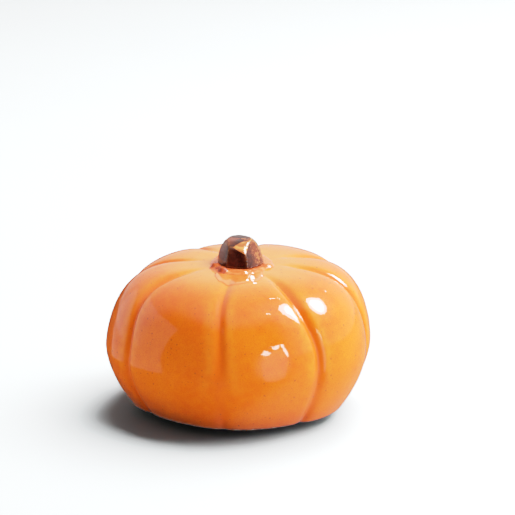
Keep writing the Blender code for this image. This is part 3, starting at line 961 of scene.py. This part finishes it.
def fired_slip():
    """Slip under the orange glaze, tinted peach as a painted reflection of the stem and its sheen, with
    red-brown where the stem's glaze ran on to its lumps.
    """
    look = Look("fired_slip_fine")
    brown = look.attribute("brown")
    cloud = look.noise(1.2, detail=3.0)
    fine = look.noise(4.5, detail=3.0)
    # Painted reflection: the slip's orange is tinted peach, as the stem and its sheen mirrored round its
    # foot.
    colour = look.mix(look.ramp(cloud, 0.35, 0.65), *SLIP_TONES_WITH_PAINTED_SHEEN)
    ragged = look.ramp(look.add(brown, look.ramp(fine, 0.0, 1.0, -0.25, 0.25)), 0.30, 0.70)
    red = look.mix(look.ramp(cloud, 0.3, 0.7), *SLIP_REDS)
    relief = look.bump(look.add(look.noise(2.2), look.times(fine, 0.25)), SLIP_PEEL)
    look.set(
        Base_Color=look.mix(ragged, colour, red),
        Roughness=look.highest(look.ramp(fine, 0.3, 0.8, 0.04, 0.10), look.times(ragged, 0.45)),
        IOR=GLAZE_IOR,
        Specular_IOR_Level=0.28,
        Normal=look.marked(relief),
    )
    return look.material


def felt():
    """Charcoal wool felt, with a matted nap and paler fibres."""
    look = Look("felt_fine")
    stretched = look.vector("MULTIPLY", look.place, (1.0, 1.0, 0.35))
    mat = look.noise(7.0, detail=5.0, roughness=0.75, distortion=1.2, place=stretched)
    fibre = look.noise(16.0, detail=2.0, distortion=2.5, place=stretched)
    colour = look.mix(look.ramp(mat, 0.3, 0.7), *FELT_TONES)
    look.set(
        Base_Color=look.mix(look.ramp(fibre, 0.60, 0.72, 0.0, 0.6), colour, FELT_FIBRE),
        Roughness=look.ramp(mat, 0.2, 0.8, 0.85, 1.0),
        Sheen_Weight=0.5,
        Sheen_Roughness=0.5,
        Normal=look.bump(look.add(mat, look.times(fibre, 0.5)), FELT_NAP),
    )
    return look.material


# ================ stage
# Azimuth and elevation of the main lamp.
KEY = (87, 52)
# Each lamp's name, azimuth and elevation, distance, size, radiance and turn.
LAMPS = (
    ("key_softbox", KEY, 0.50, (0.25, 0.34), 21.0, -30),
    ("window_arch_left", (24, 10.5), 0.59, (0.034, 0.050), 20.0, -35),
    ("window_arch_top", (30, 15.5), 0.59, (0.050, 0.028), 24.0, 0),
    ("window_arch_right", (38.5, 10.5), 0.59, (0.015, 0.150), 26.0, 22),
    ("window_glass", (31, -5), 0.62, (0.215, 0.44), 1.0, 0),
    ("key_glint", KEY, 0.48, (0.16, 0.23), 36.0, -30),
    ("left_wall", (-102, 6), 0.60, (0.80, 0.66), 0.66, 0),
)
FLOOR_LAMPS = (
    ("floor_lamp_high", (132, 60), 0.50, (0.44, 0.44), 92.0, 0),
    ("floor_lamp_low", (112, 31), 0.50, (0.56, 0.56), 22.5, 0),
)
ROUND_LAMPS = ("key_softbox", "key_glint", "window_glass")
# These show in the glaze but shed no light on it.
REFLECTED_LAMPS = tuple(name for name, *_ in LAMPS if name not in ("key_softbox", "left_wall"))
GLASS_TINT = (1.0, 0.70, 0.80)

# The room's brightness. It grows toward its lit side from the front to the back, and from left to
# right. The back wall brightens upward, and the dark ground is less dark to the right.
LIT_SIDE = (0.45, 0.89)
ROOM_EDGE = (-0.50, -0.05)
ROOM_FRONT_TO_BACK = (0.02, 1.0)
ROOM_SIDES = (-0.9, 0.8)
ROOM_LEFT_TO_RIGHT = (0.75, 1.32)
BACK_WALL_EDGE = (0.2, 0.7)
BACK_WALL_HEIGHTS = (0.15, 0.55)
BACK_WALL_RISE = 1.3
CEILING_EDGE = (0.65, 0.92)
CEILING = 1.1
HORIZON = (-0.03, 0.03)
BELOW_SIDES = (-0.4, 0.5)
BELOW_LEFT_TO_RIGHT = (0.06, 0.45)
# Soft round patches: azimuth and elevation, outer and inner radius in degrees, radiance.
WINDOW_GLOW = ((30.5, -3), (19, 8), 1.0)
KEY_GLOW = ((87, 53), (34, 10), 1.2)
GLOW_TINT = (1.0, 0.80, 0.86)
PLAIN_TINT = (1.0, 1.0, 1.0)

FLOOR_REACH = 2.5
FLOOR_CORNERS = 96
# Light and shown level of the points that shape the tone response, and the light shown as white.
TONE_WHITE = 2.7
TONE_SHOULDER = ((0.50, 0.50), (0.70, 0.62), (1.05, 0.76), (1.35, 0.82), (1.70, 0.87), (2.20, 0.93))


def floor():
    """A pale round floor, which the glaze doesn't mirror."""
    look = Look("pale_floor")
    tone = look.mix(look.noise(0.02, detail=2.0), *FLOOR_TONES)
    look.set(Base_Color=tone, Roughness=0.65, Specular_IOR_Level=0.2)
    points = [(0.0, 0.0, 0.0)]
    for turn in np.linspace(0, 2 * np.pi, FLOOR_CORNERS, endpoint=False):
        points.append((FLOOR_REACH * math.cos(turn), FLOOR_REACH * math.sin(turn), 0.0))
    faces = [(0, 1 + side, 1 + (side + 1) % FLOOR_CORNERS) for side in range(FLOOR_CORNERS)]
    made = make_object("floor", np.array(points), faces, look.material)
    made.visible_glossy = False
    return made


def target_point():
    return Vector(AXIS) + Vector((0, 0, FOOT_LEVEL + CAMERA_TARGET_HEIGHT))


def camera():
    """The camera. It looks down at its target, and is aimed a little above and beside it."""
    toward = Vector((0, math.cos(CAMERA_ELEVATION), -math.sin(CAMERA_ELEVATION)))
    right = Vector((1, 0, 0))
    up = right.cross(toward)
    aim = toward * math.cos(AIM_ABOVE_TARGET) + up * math.sin(AIM_ABOVE_TARGET)
    up = right.cross(aim)
    right, aim = (
        right * math.cos(AIM_BESIDE_TARGET) - aim * math.sin(AIM_BESIDE_TARGET),
        aim * math.cos(AIM_BESIDE_TARGET) + right * math.sin(AIM_BESIDE_TARGET),
    )
    data = bpy.data.cameras.new("camera")
    data.lens = CAMERA_LENS
    data.sensor_width = CAMERA_SENSOR
    data.clip_start, data.clip_end = CAMERA_CLIP
    made = bpy.data.objects.new("camera", data)
    turned = Matrix((right, up, -aim)).transposed().to_4x4()
    made.matrix_world = Matrix.Translation(target_point() - toward * CAMERA_DISTANCE) @ turned
    bpy.context.scene.collection.objects.link(made)
    bpy.context.scene.camera = made


def area_light(name, angles, distance, size, radiance, turn):
    """An area light that looks at the pumpkin from this azimuth and elevation."""
    data = bpy.data.lights.new(name, "AREA")
    data.shape = "ELLIPSE" if name in ROUND_LAMPS else "RECTANGLE"
    data.size, data.size_y = size
    data.energy = radiance * math.pi * size[0] * size[1]
    made = bpy.data.objects.new(name, data)
    toward = Vector(heading(*angles)).normalized()
    made.location = target_point() + toward * distance
    spin = Matrix.Rotation(math.radians(turn), 3, "Z")
    made.rotation_euler = (toward.to_track_quat("Z", "Y").to_matrix() @ spin).to_euler()
    made.visible_diffuse = name not in REFLECTED_LAMPS
    bpy.context.scene.collection.objects.link(made)
    return made


def surroundings():
    """A pale room: bright at the back and right, less so at the left, dark toward the front."""
    world = bpy.data.worlds.new("studio")
    world.use_nodes = True
    bpy.context.scene.world = world
    room = Nodes(world.node_tree)
    place = room.node("ShaderNodeTexCoord").outputs["Generated"]
    right, back, up = room.node("ShaderNodeSeparateXYZ", {0: place}).outputs
    lit_side = room.add(room.times(right, LIT_SIDE[0]), room.times(back, LIT_SIDE[1]))
    walls = room.ramp(lit_side, *ROOM_EDGE, *ROOM_FRONT_TO_BACK)
    walls = room.times(walls, room.ramp(right, *ROOM_SIDES, *ROOM_LEFT_TO_RIGHT))
    back_wall = room.ramp(back, *BACK_WALL_EDGE, 0.0, BACK_WALL_RISE - 1)
    back_wall = room.times(back_wall, room.ramp(up, *BACK_WALL_HEIGHTS))
    walls = room.times(walls, room.add(back_wall, 1.0))
    ceiling = room.times(room.ramp(up, *CEILING_EDGE), CEILING)

    def glow(middle, radii, radiance):
        """A soft round patch about this heading, between these radii in degrees."""
        inputs = {0: place, 1: heading(*middle)}
        near = room.node("ShaderNodeVectorMath", inputs, operation="DOT_PRODUCT").outputs["Value"]
        low, high = (math.cos(math.radians(radius)) for radius in radii)
        return room.ramp(near, low, high, 0.0, radiance)

    ground = room.ramp(right, *BELOW_SIDES, *BELOW_LEFT_TO_RIGHT)
    ground = room.highest(ground, room.ramp(up, *HORIZON))
    strength = room.times(room.highest(walls, ceiling), ground)
    window = glow(*WINDOW_GLOW)
    strength = room.add(strength, room.add(window, glow(*KEY_GLOW)))
    background = room.tree.nodes["Background"]
    room.put(background, "Color", room.mix(window, PLAIN_TINT, GLOW_TINT))
    room.put(background, "Strength", strength)


def heading(azimuth, elevation):
    """The direction at this azimuth from the front, positive to the right, and this elevation."""
    turn, rise = math.radians(azimuth), math.radians(elevation)
    return math.sin(turn) * math.cos(rise), -math.cos(turn) * math.cos(rise), math.sin(rise)


def lights(ground):
    """The lamps, and two for the grey floor alone: they keep it white and its shadow deep, with a
    paler shadow further out."""
    for lamp in LAMPS:
        area_light(*lamp)
    bpy.data.lights["window_glass"].color = GLASS_TINT
    only_floor = bpy.data.collections.new("floor_lamp_receivers")
    only_floor.objects.link(ground)
    for lamp in FLOOR_LAMPS:
        area_light(*lamp).light_linking.receiver_collection = only_floor


def tone_response():
    """A soft shoulder like a camera's: each channel bends over before it reaches white."""
    view = bpy.context.scene.view_settings
    view.view_transform = "Standard"
    view.use_curve_mapping = True
    mapping = view.curve_mapping
    mapping.white_level = [TONE_WHITE] * 3
    curve = mapping.curves[3]
    for light, shown in TONE_SHOULDER:
        curve.points.new(light / TONE_WHITE, shown)
    for point in curve.points:
        point.handle_type = "VECTOR"
    mapping.update()


def main():
    camera()
    body(orange_glaze())
    stem(brown_glaze())
    slip_joint(fired_slip())
    pad_look = felt()
    for number, node in enumerate(PADS):
        felt_pad(node, FELT_SEED + FELT_SEED_STEP * number, pad_look)
    lights(floor())
    surroundings()
    tone_response()


main()
